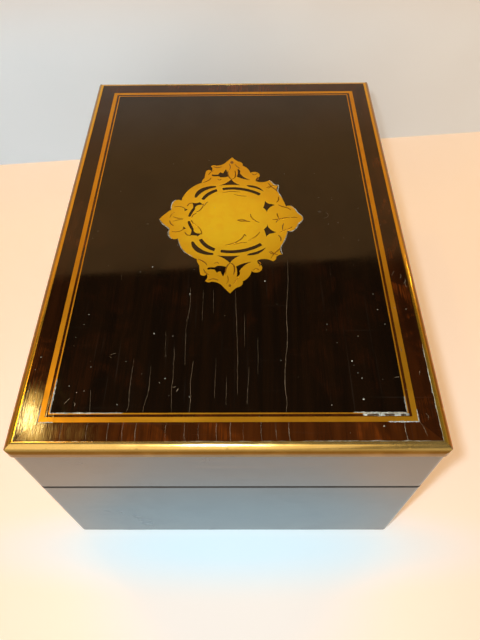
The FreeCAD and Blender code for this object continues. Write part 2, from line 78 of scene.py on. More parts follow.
# node helpers
def put(tree, kind, values=None, **settings):
    node = tree.nodes.new("ShaderNode" + kind)
    for name, value in settings.items():
        setattr(node, name, value)
    for name, value in (values or {}).items():
        if isinstance(value, bpy.types.NodeSocket):
            tree.links.new(value, node.inputs[name])
        else:
            node.inputs[name].default_value = value
    return node


def calc(tree, operation, first, second=0.0):
    return put(tree, "Math", {0: first, 1: second}, operation=operation, use_clamp=True).outputs[0]


def spread(tree, value, low, high, newLow=0.0, newHigh=1.0):
    ends = {"Value": value, "From Min": low, "From Max": high, "To Min": newLow, "To Max": newHigh}
    return put(tree, "MapRange", ends, interpolation_type="SMOOTHSTEP").outputs["Result"]


def mixColour(tree, factor, first, second):
    return put(tree, "Mix", {0: factor, 6: first, 7: second}, data_type="RGBA").outputs[2]


def noise(tree, vector, scale, detail=3.0, roughness=0.55, distortion=0.0):
    values = {
        "Vector": vector,
        "Scale": scale,
        "Detail": detail,
        "Roughness": roughness,
        "Distortion": distortion,
    }
    return put(tree, "TexNoise", values).outputs["Fac"]


def stretched(tree, vector, scale, turn=(0, 0, 0)):
    return put(tree, "Mapping", {"Vector": vector, "Scale": scale, "Rotation": turn}).outputs["Vector"]


def distance(tree, first, second):
    return put(tree, "VectorMath", {0: first, 1: second}, operation="DISTANCE").outputs["Value"]


def effectGroup(name, inputs, outputs):
    tree = bpy.data.node_groups.new(name, "ShaderNodeTree")
    for label, kind in inputs:
        tree.interface.new_socket(label, in_out="INPUT", socket_type=kind)
    for label in outputs:
        tree.interface.new_socket(label, in_out="OUTPUT", socket_type="NodeSocketFloat")
    return tree, tree.nodes.new("NodeGroupInput").outputs, tree.nodes.new("NodeGroupOutput").inputs


def useGroup(tree, effect, values):
    node = tree.nodes.new("ShaderNodeGroup")
    node.node_tree = effect
    for name, value in values.items():
        if isinstance(value, bpy.types.NodeSocket):
            tree.links.new(value, node.inputs[name])
        else:
            node.inputs[name].default_value = value
    return node.outputs


# wood figure with the grain along X: broad bands, fine fibre and cloudy patches
grainLook = {"bands": (7, 120, 120), "fibre": (45, 1500, 1500), "patches": 38.0}


def makeGrain():
    asked = [("Vector", "NodeSocketVector")]
    tree, given, out = effectGroup("woodGrain", asked, ["Bands", "Fibre", "Patches"])
    wide = stretched(tree, given["Vector"], grainLook["bands"])
    fine = stretched(tree, given["Vector"], grainLook["fibre"])
    tree.links.new(noise(tree, wide, 1.0, 5.0, 0.6, 0.9), out["Bands"])
    tree.links.new(noise(tree, fine, 1.0, 4.0, 0.6, 0.3), out["Fibre"])
    tree.links.new(noise(tree, given["Vector"], grainLook["patches"], 3.0, 0.6, 0.6), out["Patches"])
    return tree


# hairline scratches from handling, in three directions: (turn, scale)
scratchLook = {
    "lines": ((0.5, (14, 900, 9)), (-0.35, (900, 16, 9)), (1.1, (20, 1100, 9))),
    "lean": (0.3, 0.2),
    "edge": 0.78,
    "sharp": 12.0,
}


def makeScratches():
    asked = [("Vector", "NodeSocketVector"), ("Density", "NodeSocketFloat")]
    tree, given, out = effectGroup("hairScratches", asked, ["Lines"])
    total = None
    for turn, scale in scratchLook["lines"]:
        drawn = stretched(tree, given["Vector"], scale, (*scratchLook["lean"], turn))
        lines = noise(tree, drawn, 1.0, 2.0, 0.5, 0.15)
        edge = calc(tree, "SUBTRACT", scratchLook["edge"], calc(tree, "MULTIPLY", given["Density"], 0.1))
        lines = calc(tree, "MULTIPLY", calc(tree, "SUBTRACT", lines, edge), scratchLook["sharp"])
        total = lines if total is None else calc(tree, "MAXIMUM", total, lines)
    tree.links.new(total, out["Lines"])
    return tree


# uneven age: soft cloudy blotches and sparse round specks
ageLook = {"cells": 150.0, "sparse": 0.9, "size": 0.55, "sharp": 60.0}


def makeAge():
    asked = [("Vector", "NodeSocketVector"), ("Scale", "NodeSocketFloat")]
    tree, given, out = effectGroup("ageMarks", asked, ["Blotch", "Specks"])
    tree.links.new(noise(tree, given["Vector"], given["Scale"], 6.0, 0.62, 0.4), out["Blotch"])
    cells = put(tree, "TexVoronoi", {"Vector": given["Vector"], "Scale": ageLook["cells"]})
    chosen = put(tree, "SeparateColor", {"Color": cells.outputs["Color"]}).outputs
    size = calc(tree, "MULTIPLY", calc(tree, "SUBTRACT", chosen["Red"], ageLook["sparse"]), ageLook["size"])
    inside = calc(tree, "SUBTRACT", size, cells.outputs["Distance"])
    tree.links.new(calc(tree, "MULTIPLY", inside, ageLook["sharp"]), out["Specks"])
    return tree


grainEffect = makeGrain()
scratchEffect = makeScratches()
ageEffect = makeAge()


def newMaterial(name, fixed):
    material = bpy.data.materials.new(name)
    material.use_nodes = True
    tree = material.node_tree
    tree.nodes.clear()
    shader = put(tree, "BsdfPrincipled", fixed)
    put(tree, "OutputMaterial", {"Surface": shader.outputs["BSDF"]})
    place = put(tree, "TexCoord").outputs["Object"]
    return material, tree, shader.inputs, place


def bumped(tree, height, strength, depth, normal):
    bump = put(tree, "Bump", {"Height": height, "Strength": strength, "Distance": depth})
    tree.links.new(bump.outputs["Normal"], normal)


# polished veneers on top of the lid: a dark field and redder borders, reddest at the ends; the front border's
# copy is painted lighter and redder than the back's, as painted warm light on the front side and painted shade
# on the back
veneerLook = {
    "darkVeneer": {
        "dark": (0.0042, 0.0019, 0.0008, 1),
        "brown": (0.0078, 0.0030, 0.0010, 1),
        "red": (0.0165, 0.0044, 0.0012, 1),
        "ripple": (0.10, 0.4 * mm),
    },
    "redVeneer": {
        "dark": (0.032, 0.0074, 0.0012, 1),
        "brown": (0.056, 0.0128, 0.0018, 1),
        "red": (0.175, 0.034, 0.0030, 1),
        "ripple": (0.16, 0.5 * mm),
    },
    "litFrontVeneer": {
        "dark": (0.017, 0.0040, 0.0009, 1),
        "brown": (0.036, 0.0080, 0.0013, 1),
        "red": (0.130, 0.026, 0.0024, 1),
        "ripple": (0.16, 0.5 * mm),
    },
    "shadedBackVeneer": {
        "dark": (0.010, 0.0028, 0.0008, 1),
        "brown": (0.021, 0.0054, 0.0012, 1),
        "red": (0.075, 0.016, 0.0020, 1),
        "ripple": (0.16, 0.5 * mm),
    },
    "dust": (0.36, 0.31, 0.25, 1),
    "gloss": (0.035, 0.11),
}


def makeVeneer(name):
    wood = veneerLook[name]
    material, tree, shader, place = newMaterial(name, {"IOR": 1.48, "Coat Roughness": 0.03})
    grain = useGroup(tree, grainEffect, {"Vector": place})
    age = useGroup(tree, ageEffect, {"Vector": place, "Scale": 26.0})
    scratches = useGroup(tree, scratchEffect, {"Vector": place, "Density": 1.0})["Lines"]
    colour = mixColour(tree, spread(tree, grain["Bands"], 0.36, 0.66), wood["dark"], wood["brown"])
    patches = spread(tree, grain["Patches"], 0.50, 0.70)
    red = calc(tree, "MULTIPLY", patches, spread(tree, grain["Fibre"], 0.35, 0.65))
    colour = mixColour(tree, red, colour, wood["red"])
    marks = calc(tree, "MULTIPLY", age["Specks"], 0.8)
    colour = mixColour(tree, calc(tree, "MAXIMUM", marks, calc(tree, "MULTIPLY", scratches, 0.015)), colour,
                       veneerLook["dust"])
    tree.links.new(colour, shader["Base Color"])
    low, high = veneerLook["gloss"]
    rough = spread(tree, age["Blotch"], 0.38, 0.68, low, high)
    tree.links.new(calc(tree, "ADD", rough, calc(tree, "MULTIPLY", marks, 0.5)), shader["Roughness"])
    tree.links.new(spread(tree, age["Blotch"], 0.3, 0.7, 0.16, 0.02), shader["Coat Weight"])
    fibre = calc(tree, "MULTIPLY", grain["Fibre"], 0.2)
    height = calc(tree, "ADD", calc(tree, "MULTIPLY", grain["Bands"], 0.6), fibre)
    bumped(tree, height, *wood["ripple"], shader["Normal"])
    return material


# black polished side boards, rubbed a little at the foot, with painted shade along the seam and a painted
# reflection tint over the black
boardLook = {
    "black": (0.012, 0.0115, 0.012, 1),
    # the lid and case tints are painted reflection over the black: warm on the lid boards, blue on the case
    # boards
    "lidReflectionTint": (0.072, 0.046, 0.030, 1),
    "caseReflectionTint": (0.016, 0.044, 0.066, 1),
    "paleTone": (0.085, 0.048, 0.028, 1),
    "gloss": (0.20, 0.28),
    "rubWidth": 1.6 * mm,
    "seamShade": (0.003, 0.003, 0.003, 1),
    "gapWidth": (1.9 * mm, 0.9 * mm),
    "ripple": (0.10, 0.3 * mm),
}


def makeBoard(name, turn, reflectionTint):
    material, tree, shader, place = newMaterial(name, {"IOR": 1.55, "Coat Roughness": 0.12})
    along = put(tree, "Mapping", {"Vector": place, "Rotation": (0, 0, turn)}).outputs["Vector"]
    grain = useGroup(tree, grainEffect, {"Vector": along})
    age = useGroup(tree, ageEffect, {"Vector": place, "Scale": 21.0})
    scratches = useGroup(tree, scratchEffect, {"Vector": place, "Density": 0.8})["Lines"]
    bands = spread(tree, grain["Bands"], 0.4, 0.7)
    blend = calc(tree, "MULTIPLY", bands, spread(tree, age["Blotch"], 0.4, 0.7))
    # blend the black towards the painted reflection tint in patches
    colour = mixColour(tree, spread(tree, blend, 0.0, 0.6, 0.35, 1.0), boardLook["black"], boardLook[reflectionTint])
    height = put(tree, "SeparateXYZ", {"Vector": place}).outputs["Z"]
    fromSeam = put(tree, "Math", {0: height, 1: seam}, operation="SUBTRACT").outputs[0]
    fromSeam = put(tree, "Math", {0: fromSeam}, operation="ABSOLUTE").outputs[0]
    # painted shade along the seam between lid and case, darkest at the seam
    seamShade = spread(tree, fromSeam, *boardLook["gapWidth"])
    foot = spread(tree, height, boardLook["rubWidth"], 0.0)
    rub = calc(tree, "MULTIPLY", foot, spread(tree, age["Blotch"], 0.50, 0.66))
    colour = mixColour(tree, calc(tree, "MULTIPLY", rub, 0.8), colour, boardLook["paleTone"])
    colour = mixColour(tree, calc(tree, "MULTIPLY", scratches, 0.03), colour, boardLook["paleTone"])
    # the seam's painted shade colour also darkens the real dark specks
    colour = mixColour(tree, calc(tree, "MAXIMUM", seamShade, age["Specks"]), colour, boardLook["seamShade"])
    tree.links.new(colour, shader["Base Color"])
    low, high = boardLook["gloss"]
    rough = spread(tree, age["Blotch"], 0.35, 0.7, low, high)
    # the rubbed foot, the specks and the painted seam shade are all rougher and lose the coat
    worn = calc(tree, "MAXIMUM", calc(tree, "MAXIMUM", rub, seamShade), age["Specks"])
    tree.links.new(calc(tree, "ADD", rough, calc(tree, "MULTIPLY", worn, 0.4)), shader["Roughness"])
    tree.links.new(spread(tree, worn, 0.0, 1.0, 0.5, 0.0), shader["Coat Weight"])
    fibre = calc(tree, "MULTIPLY", grain["Fibre"], 0.3)
    relief = calc(tree, "ADD", calc(tree, "MULTIPLY", grain["Bands"], 0.5), fibre)
    bumped(tree, relief, *boardLook["ripple"], shader["Normal"])
    return material


# brass: clean metal under a warm tarnish, with fine scratches
# the moulding carries painted shade below its top and a pale painted reflection at its foot
# the ornament's leaves are redder than its middle
brassLook = {
    # the end and long-side mouldings are lit and shaded copies of one brass: the ends paler as a painted
    # highlight tone, the long sides with painted shade from just below the top
    "litEndBrass": {
        "clean": (0.80, 0.52, 0.150, 1),
        "tarnish": (0.63, 0.37, 0.075, 1),
        "share": 0.6,
        "spots": 0.2,
        "gloss": (0.15, 0.22),
        "scratches": 0.02,
        "dents": 0.05,
        "metal": 0.85,
    },
    "shadedSideBrass": {
        "clean": (0.90, 0.52, 0.050, 1),
        "tarnish": (0.74, 0.39, 0.030, 1),
        "share": 0.6,
        "spots": 0.2,
        "gloss": (0.16, 0.24),
        "scratches": 0.02,
        "dents": 0.05,
        "metal": 0.85,
    },
    "inlayBrass": {
        "clean": (1.0, 0.73, 0.024, 1),
        "tarnish": (0.94, 0.52, 0.014, 1),
        "leaf": (0.74, 0.36, 0.006, 1),
        "leafSpan": (12 * mm, 50 * mm),
        "share": 0.5,
        "spots": 0.03,
        "gloss": (0.28, 0.38),
        "scratches": 0.03,
        "dents": 0.06,
        "metal": 0.6,
    },
    "fittingBrass": {
        "clean": (0.72, 0.45, 0.11, 1),
        "tarnish": (0.40, 0.20, 0.030, 1),
        "share": 0.9,
        "spots": 0.9,
        "gloss": (0.24, 0.38),
        "scratches": 0.12,
        "dents": 0.22,
        "metal": 1.0,
    },
    "stringBrass": {
        "clean": (0.74, 0.345, 0.014, 1),
        "tarnish": (0.65, 0.245, 0.009, 1),
        "share": 0.6,
        "spots": 0.05,
        "gloss": (0.28, 0.38),
        "scratches": 0.03,
        "dents": 0.06,
        "metal": 0.70,
    },
    "engravingShadeBrass": {
        "clean": (0.42, 0.19, 0.008, 1),
        "tarnish": (0.26, 0.10, 0.004, 1),
        "share": 0.8,
        "spots": 0.3,
        "gloss": (0.34, 0.46),
        "scratches": 0.0,
        "dents": 0.1,
        "metal": 1.0,
    },
    "dark": (0.16, 0.085, 0.02, 1),
    "paleTone": (0.64, 0.52, 0.22, 1),
    "nailHoleDark": (0.075, 0.036, 0.008, 1),
    "dentDepth": 0.6 * mm,
}
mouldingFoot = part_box("moulding_left")[0].z
mouldingShade = {
    "litEndBrass": {"colour": (0.21, 0.110, 0.013, 1), "span": (boxHigh.z - 0.9 * mm, boxHigh.z - 2.6 * mm)},
    "shadedSideBrass": {"colour": (0.36, 0.140, 0.008, 1), "span": (boxHigh.z - 0.05 * mm, boxHigh.z - 0.40 * mm)},
}
# a pale band along the moulding's foot: painted reflection of the pale floor
footReflectionSpan = (mouldingFoot + 0.7 * mm, mouldingFoot + 0.35 * mm)
nailHole = {"place": (-boxHigh.x, -2.6 * mm, mouldingFoot + 1.6 * mm), "radius": 1.1 * mm}


def makeBrass(name):
    look = brassLook[name]
    material, tree, shader, place = newMaterial(name, {"IOR": 1.5})
    age = useGroup(tree, ageEffect, {"Vector": place, "Scale": 70.0})
    broad = useGroup(tree, ageEffect, {"Vector": place, "Scale": 17.0})["Blotch"]
    scratches = useGroup(tree, scratchEffect, {"Vector": place, "Density": 1.5})["Lines"]
    cloud = calc(tree, "MULTIPLY", spread(tree, broad, 0.34, 0.68), look["share"])
    colour = mixColour(tree, cloud, look["clean"], look["tarnish"])
    spots = calc(tree, "MULTIPLY", spread(tree, age["Blotch"], 0.60, 0.76), look["spots"])
    colour = mixColour(tree, spots, colour, brassLook["dark"])
    if name == "inlayBrass":
        mottle = spread(tree, noise(tree, place, 130.0, 2.0, 0.5), 0.40, 0.72)
        colour = mixColour(tree, calc(tree, "MULTIPLY", mottle, 0.35), colour, look["tarnish"])
        leaves = spread(tree, distance(tree, place, (0, 0, deck)), *look["leafSpan"], 0.0, 0.8)
        colour = mixColour(tree, leaves, colour, look["leaf"])
    if name in mouldingShade:
        height = put(tree, "SeparateXYZ", {"Vector": place}).outputs["Z"]
        away = distance(tree, place, nailHole["place"])
        hole = spread(tree, away, nailHole["radius"], nailHole["radius"] * 0.6)
        # painted shade below the moulding's top, varied a little at random
        brown = spread(tree, height, *mouldingShade[name]["span"])
        brown = calc(tree, "MULTIPLY", brown, spread(tree, age["Blotch"], 0.2, 0.6, 0.85, 1.0))
        colour = mixColour(tree, brown, colour, mouldingShade[name]["colour"])
        # the pale painted reflection along the foot
        colour = mixColour(tree, spread(tree, height, *footReflectionSpan), colour, brassLook["paleTone"])
        # darker at the nail hole
        colour = mixColour(tree, hole, colour, brassLook["nailHoleDark"])
    tree.links.new(colour, shader["Base Color"])
    low, high = look["gloss"]
    rough = spread(tree, age["Blotch"], 0.36, 0.66, low, high)
    scored = calc(tree, "MULTIPLY", scratches, look["scratches"])
    tree.links.new(calc(tree, "ADD", rough, scored), shader["Roughness"])
    tree.links.new(spread(tree, spots, 0.0, 1.0, look["metal"], 0.8), shader["Metallic"])
    dents = calc(tree, "SUBTRACT", calc(tree, "MULTIPLY", broad, 0.7), scored)
    bumped(tree, dents, look["dents"], brassLook["dentDepth"], shader["Normal"])
    return material


# plain reddish carcass wood of the floor and the lid's core
carcassLook = {
    "light": (0.20, 0.085, 0.036, 1),
    "dark": (0.085, 0.032, 0.014, 1),
    "ripple": (0.25, 0.3 * mm),
}


def makeCarcass():
    material, tree, shader, place = newMaterial("carcassWood", {"IOR": 1.45})
    grain = useGroup(tree, grainEffect, {"Vector": place})
    bands = spread(tree, grain["Bands"], 0.3, 0.7)
    colour = mixColour(tree, bands, carcassLook["light"], carcassLook["dark"])
    colour = mixColour(tree, spread(tree, grain["Fibre"], 0.55, 0.8, 0.0, 0.6), colour, carcassLook["dark"])
    tree.links.new(colour, shader["Base Color"])
    tree.links.new(spread(tree, grain["Fibre"], 0.2, 0.8, 0.5, 0.72), shader["Roughness"])
    bumped(tree, grain["Fibre"], *carcassLook["ripple"], shader["Normal"])
    return material


# velvet on the lining cards
velvetLook = {
    "pile": (0.115, 0.010, 0.022, 1),
    "worn": (0.24, 0.055, 0.060, 1),
    "fixed": {"Sheen Weight": 0.7, "Sheen Roughness": 0.35, "Sheen Tint": (1.0, 0.55, 0.55, 1)},
    "ripple": (0.5, 0.4 * mm),
}


def makeVelvet():
    material, tree, shader, place = newMaterial("liningVelvet", velvetLook["fixed"])
    age = useGroup(tree, ageEffect, {"Vector": place, "Scale": 30.0})
    pile = noise(tree, place, 2600.0, 2.0, 0.6)
    worn = spread(tree, age["Blotch"], 0.48, 0.72, 0.0, 0.75)
    colour = mixColour(tree, worn, velvetLook["pile"], velvetLook["worn"])
    tree.links.new(colour, shader["Base Color"])
    tree.links.new(spread(tree, pile, 0.3, 0.7, 0.75, 0.95), shader["Roughness"])
    bumped(tree, pile, *velvetLook["ripple"], shader["Normal"])
    return material


# chalky or dark fillings: polish left in joints, cracks and scuffs, some scuffs being painted glints, then
# gaps, the pit and painted shade in the screw slots
fillingLook = {
    "oldPolish": {
        "colours": ((0.54, 0.54, 0.48, 1), (0.27, 0.28, 0.24, 1)),
        "gloss": (0.7, 0.9),
    },
    "crackFillingAndGlints": {
        "colours": ((0.22, 0.165, 0.105, 1), (0.075, 0.050, 0.028, 1)),
        "gloss": (0.6, 0.8),
    },
    "slotShadow": {
        "colours": ((0.030, 0.018, 0.008, 1), (0.075, 0.042, 0.016, 1)),
        "gloss": (0.7, 0.9),
    },
    "ripple": (0.3, 0.1 * mm),
}


def makeFilling(name):
    look = fillingLook[name]
    material, tree, shader, place = newMaterial(name, {"IOR": 1.45})
    mottle = noise(tree, place, 900.0, 4.0, 0.65)
    colour = mixColour(tree, spread(tree, mottle, 0.38, 0.62), *look["colours"])
    tree.links.new(colour, shader["Base Color"])
    tree.links.new(spread(tree, mottle, 0.3, 0.7, *look["gloss"]), shader["Roughness"])
    bumped(tree, mottle, *fillingLook["ripple"], shader["Normal"])
    return material


darkVeneer = makeVeneer("darkVeneer")
redVeneer = makeVeneer("redVeneer")
litFrontVeneer = makeVeneer("litFrontVeneer")
shadedBackVeneer = makeVeneer("shadedBackVeneer")
boards = {
    "case": {
        "long": makeBoard("caseLong", 0.0, "caseReflectionTint"),
        "short": makeBoard("caseShort", math.pi / 2, "caseReflectionTint"),
    },
    "lid": {
        "long": makeBoard("lidLong", 0.0, "lidReflectionTint"),
        "short": makeBoard("lidShort", math.pi / 2, "lidReflectionTint"),
    },
}
litEndBrass = makeBrass("litEndBrass")
shadedSideBrass = makeBrass("shadedSideBrass")
inlayBrass = makeBrass("inlayBrass")
stringBrass = makeBrass("stringBrass")
fittingBrass = makeBrass("fittingBrass")
carcassWood = makeCarcass()
liningVelvet = makeVelvet()
oldPolish = makeFilling("oldPolish")
crackFillingAndGlints = makeFilling("crackFillingAndGlints")
engravingShadeBrass = makeBrass("engravingShadeBrass")
slotShadow = makeFilling("slotShadow")
print("materials made")


# which finish each node takes
def finishFor(name):
    if "lining" in name:
        return liningVelvet
    if name in ("case_floor", "lid_top"):
        return carcassWood
    # the long-side mouldings take the shaded copy, the end mouldings the lit copy
    if name in ("moulding_front", "moulding_back"):
        return shadedSideBrass
    if name.startswith("moulding"):
        return litEndBrass
    if "string" in name:
        return stringBrass
    if name == "cartouche":
        return inlayBrass
    if name in ("field_veneer", "cartouche_infill"):
        return darkVeneer
    # the front border takes the copy lit by painted warm light, the back border the copy darkened as painted
    # shade
    if name == "border_veneer_front":
        return litFrontVeneer
    if name == "border_veneer_back":
        return shadedBackVeneer
    if "veneer" in name:
        return redVeneer
    half, _, side = name.partition("_")
    if half in boards and side in ("left", "right"):
        return boards[half]["short"]
    if half in boards and side in ("front", "back"):
        return boards[half]["long"]
    return boards["case"]["long"] if name == "secret_slip" else fittingBrass


for name, part in nodes.items():
    part.data.materials.clear()
    part.data.materials.append(finishFor(name))
print("nodes finished")


# small pieces: lines and specks, most of them on the lid
def onLid(front, along, lift=0.0):
    return Vector((along * mm, -front * mm, deck + lift))


# the point of the lid that the camera sees at a pixel of the picture
def seenAt(column, row, lift=0.0):
    turn = Euler([math.radians(angle) for angle in cameraLook["turn"]]).to_matrix()
    focal = cameraLook["lens"] / cameraLook["sensor"] * picture["height"]
    ray = turn @ Vector((column - picture["width"] / 2, picture["height"] / 2 - row, -focal))
    place = Vector(cameraLook["place"])
    return place + ray * ((deck + lift - place.z) / ray.z)


def smoothPath(points, steps):
    if len(points) < 3:
        return [points[0].lerp(points[-1], step / steps) for step in range(steps + 1)]
    path = [points[0]]
    for count in range(len(points) - 1):
        before = points[max(count - 1, 0)]
        start, end = points[count], points[count + 1]
        after = points[min(count + 2, len(points) - 1)]
        leave, arrive = start + (end - before) / 6, end - (after - start) / 6
        path += interpolate_bezier(start, leave, arrive, end, steps + 1)[1:]
    return path


def lineFrame(path, count, width, height, normal):
    ahead = (path[min(count + 1, len(path) - 1)] - path[max(count - 1, 0)]).normalized()
    side = normal.cross(ahead).normalized()
    lift = ahead.cross(side)
    spot = path[count]
    return Matrix((
        (side.x * width, lift.x * height, ahead.x, spot.x),
        (side.y * width, lift.y * height, ahead.y, spot.y),
        (side.z * width, lift.z * height, ahead.z, spot.z),
        (0, 0, 0, 1),
    ))


# a raised line: a six-sided ring carried along the path and narrowed at both ends
def drawLine(mesh, path, width, height, normals=None, blunt=0.15, rough=0.0):
    last = len(path) - 1
    shape = bmesh.ops.create_circle(mesh, cap_ends=True, segments=6, radius=0.5)
    verts = shape["verts"]
    face = verts[0].link_faces[0]
    place = Matrix.Identity(4)
    for count in range(last + 1):
        share = blunt + (1 - blunt) * math.sin(math.pi * count / last) ** 0.5
        share *= 1 + rough * (dice.random() - 0.5)
        nextPlace = lineFrame(path, count, width * share, height, normals[count] if normals else up)
        if count:
            pushed = bmesh.ops.extrude_face_region(mesh, geom=[face])["geom"]
            face = next(item for item in pushed if isinstance(item, bmesh.types.BMFace))
            verts = [item for item in pushed if isinstance(item, bmesh.types.BMVert)]
        bmesh.ops.transform(mesh, matrix=nextPlace @ place.inverted(), verts=verts)
        place = nextPlace


def finishPiece(name, mesh, material, body, smooth=True):
    bmesh.ops.recalc_face_normals(mesh, faces=mesh.faces)
    data = bpy.data.meshes.new(name)
    mesh.to_mesh(data)
    mesh.free()
    for polygon in data.polygons:
        polygon.use_smooth = smooth
    piece = bpy.data.objects.new(name, data)
    bpy.context.scene.collection.objects.link(piece)
    data.materials.append(material)
    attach(piece, body)
    return piece


# drying cracks along the grain, read off the picture: (width, points as column, row)
cracks = {
    "lift": 0.02 * mm,
    "height": 0.05 * mm,
    "wander": 0.22,
    "narrow": 0.75,
    "steps": 9,
    "field": (
        (0.26, (190.5, 287.5), (190, 306), (186, 329), (185, 365.5)),
        (0.34, (193.5, 361), (190.5, 382.5), (190.5, 398), (189, 414)),
        (0.16, (203.5, 290), (202, 321)),
        (0.18, (213.5, 290), (213.5, 313)),
        (0.16, (216, 358), (214.5, 398)),
        (0.24, (235.5, 290.5), (236.5, 321), (237.5, 352), (237.5, 394.5)),
        (0.28, (134, 358), (131.5, 375), (129.5, 390), (128.5, 405.5), (125.5, 414)),
        (0.24, (151, 365.5), (148.5, 390), (144, 405.5), (142.5, 414)),
        (0.26, (174.5, 347), (173, 378), (171.5, 390), (171, 414)),
        (0.20, (90.5, 390), (89.5, 414)),
        (0.22, (121.5, 275), (121.5, 280)),
        (0.42, (287.5, 260), (288, 283), (286.5, 310.5), (287.5, 339.5), (285.5, 361), (285, 385.5),
         (287, 401), (286, 414)),
        (0.16, (244.5, 313.5), (244.5, 347)),
        (0.18, (249, 367), (247, 404)),
        (0.15, (226.5, 376), (226, 405)),
        (0.14, (258, 337), (258, 374)),
        (0.13, (166, 331), (165, 357)),
    ),
    "border": (
        (60, 0.24), (86, 0.26), (107, 0.2), (122, 0.24), (135, 0.36), (165, 0.2), (184, 0.24), (198, 0.14),
        (216, 0.2), (230, 0.26), (243, 0.14), (261, 0.2), (276, 0.16), (289, 0.46), (406, 0.5),
    ),
    "borderRow": 432,
    "borderEnds": (0.3, 0.2),
    "borderBend": (0.4, 0.0, 0.2),
    "corner": (0.42, (417.5, 419), (423.5, 427), (427.5, 436)),
}


def crackPath(points, limit):
    path = [seenAt(column, row, cracks["lift"]) for column, row in points]
    for spot in path:
        spot.x = max(spot.x, -limit * mm)
    return path


def makeCracks():
    mesh = bmesh.new()
    width, *points = cracks["corner"]
    runs = [(width, crackPath(points, joints["moulding"].x))]
    for width, *points in cracks["field"]:
        runs.append((width, crackPath(points, joints["field"].x)))
    nearGap, farGap = cracks["borderEnds"]
    near, far = -joints["moulding"].x + nearGap, -joints["string"].x - farGap
    for column, width in cracks["border"]:
        front = -seenAt(column, cracks["borderRow"]).y / mm
        places = zip(cracks["borderBend"], (near, (near + far) / 2, far))
        runs.append((width, [onLid(front + bend, along, cracks["lift"]) for bend, along in places]))
    for width, points in runs:
        path = smoothPath(points, cracks["steps"])
        for spot in path[1:-1]:
            spot.y += cracks["wander"] * mm * (dice.random() - 0.5)
        drawLine(mesh, path, cracks["narrow"] * width * mm, cracks["height"], blunt=0.3, rough=0.7)
    return finishPiece("drying_cracks", mesh, crackFillingAndGlints, "lid")


# white polish left along joints: (width, joint, side, from, to), cut off at the joint's corner
polish = {
    "lift": 0.02 * mm,
    "height": 0.07 * mm,
    "wander": 0.14,
    "steps": 14,
    "runs": (
        (0.75, "moulding", "front", -92, -150),
        (0.60, "moulding", "near", 105, 34),
        (0.35, "moulding", "near", 34, -30),
        (0.50, "moulding", "back", -126, -150),
        (0.40, "moulding", "near", -105, -60),
        (0.75, "field", "back", -112, -150),
        (0.60, "field", "near", -105, -50),
        (0.55, "string", "back", -127, -150),
        (0.55, "string", "near", -105, -83),
        (0.50, "field", "near", 60, 105),
        (0.50, "field", "front", -122, -150),
        (0.75, "string", "near", 76, 105),
        (0.50, "string", "front", -150, -129),
    ),
}


def alongJoint(joint, side, *ends):
    reach = joints[joint]
    limit = reach.y if side == "near" else reach.x
    start, end = [max(-limit, min(limit, place)) for place in ends]
    runs = [start + (end - start) * share for share in (0, 0.5, 1)]
    if side == "near":
        return [onLid(front, -reach.x, polish["lift"]) for front in runs]
    front = reach.y if side == "front" else -reach.y
    return [onLid(front, along, polish["lift"]) for along in runs]


def makePolish():
    mesh = bmesh.new()
    for width, *run in polish["runs"]:
        path = smoothPath(alongJoint(*run), polish["steps"])
        for spot in path[1:-1]:
            spot.x += polish["wander"] * mm * (dice.random() - 0.5)
            spot.y += polish["wander"] * mm * (dice.random() - 0.5)
        drawLine(mesh, path, width * mm, polish["height"], blunt=0.25, rough=1.1)
    return finishPiece("polish_in_joints", mesh, oldPolish, "lid")


# a lost length of the thin string near the front corner: pale filler with dark gaps left in it
lostString = {
    "filler": (1.9, (64.5, 86.5)),
    "gaps": ((66.5, 72), (75, 79.5), (82.5, 85)),
    "gapWidth": 1.15,
    "gapShift": 0.25,
    "strip": 1.05,
    "height": 0.05 * mm,
    "steps": {"filler": 24, "seamShade": 6},
}


def stringPath(start, end, middle, lift, steps):
    return [onLid(start + (end - start) * step / steps, middle, lift) for step in range(steps + 1)]


def makeLostString():
    filler, gaps = bmesh.new(), bmesh.new()
    middle = -joints["field"].x - lostString["strip"]
    width, ends = lostString["filler"]
    path = stringPath(*ends, middle, polish["lift"], lostString["steps"]["filler"])
    drawLine(filler, path, width * mm, lostString["height"], blunt=0.6, rough=0.35)
    gapLine, lift = middle - lostString["gapShift"], polish["lift"] * 2
    for ends in lostString["gaps"]:
        path = stringPath(*ends, gapLine, lift, lostString["steps"]["seamShade"])
        drawLine(gaps, path, lostString["gapWidth"] * mm, lostString["height"], blunt=0.85, rough=0.3)
    finishPiece("string_filler", filler, oldPolish, "lid")
    finishPiece("string_gaps", gaps, slotShadow, "lid")


# polish round the ends of the ornament, a little outside its edge
ornamentPolish = {
    "grow": 1.005,
    "steps": 5,
    "runs": (
        (0.8, (44.3, 0), (43.6, -2.2), (41.2, -5.0), (39.9, -8.0), (37.0, -11.0), (34.6, -10.8)),
        (0.6, (34.4, -11.4), (32.4, -18.0), (29.7, -24.2), (30.4, -29.6)),
        (0.5, (44.3, 0), (43.6, 2.2), (41.2, 5.0), (39.9, 8.0), (37.0, 11.0)),
        (0.6, (32.3, 18.0), (29.8, 24.4), (30.4, 29.8), (28.4, 30.4), (26.8, 31.8), (24.6, 35.1)),
        (0.9, (-44.3, 0), (-41.6, -4.4), (-37.6, -8.4), (-37.8, -11.8), (-36.9, -14.8), (-35.2, -16.8)),
        (0.5, (-37.5, 8.2), (-37.7, 11.6), (-36.9, 14.8), (-35.2, 16.8)),
        (0.4, (-31.7, -16.6), (-28.2, -25.8), (-22.0, -31.0)),
    ),
}


def makeOrnamentPolish():
    mesh = bmesh.new()
    grow = ornamentPolish["grow"]
    for width, *points in ornamentPolish["runs"]:
        places = [onLid(front * grow, along * grow, polish["lift"]) for front, along in points]
        path = smoothPath(places, ornamentPolish["steps"])
        drawLine(mesh, path, width * mm, polish["height"], blunt=0.3, rough=0.8)
    return finishPiece("polish_round_ornament", mesh, oldPolish, "lid")
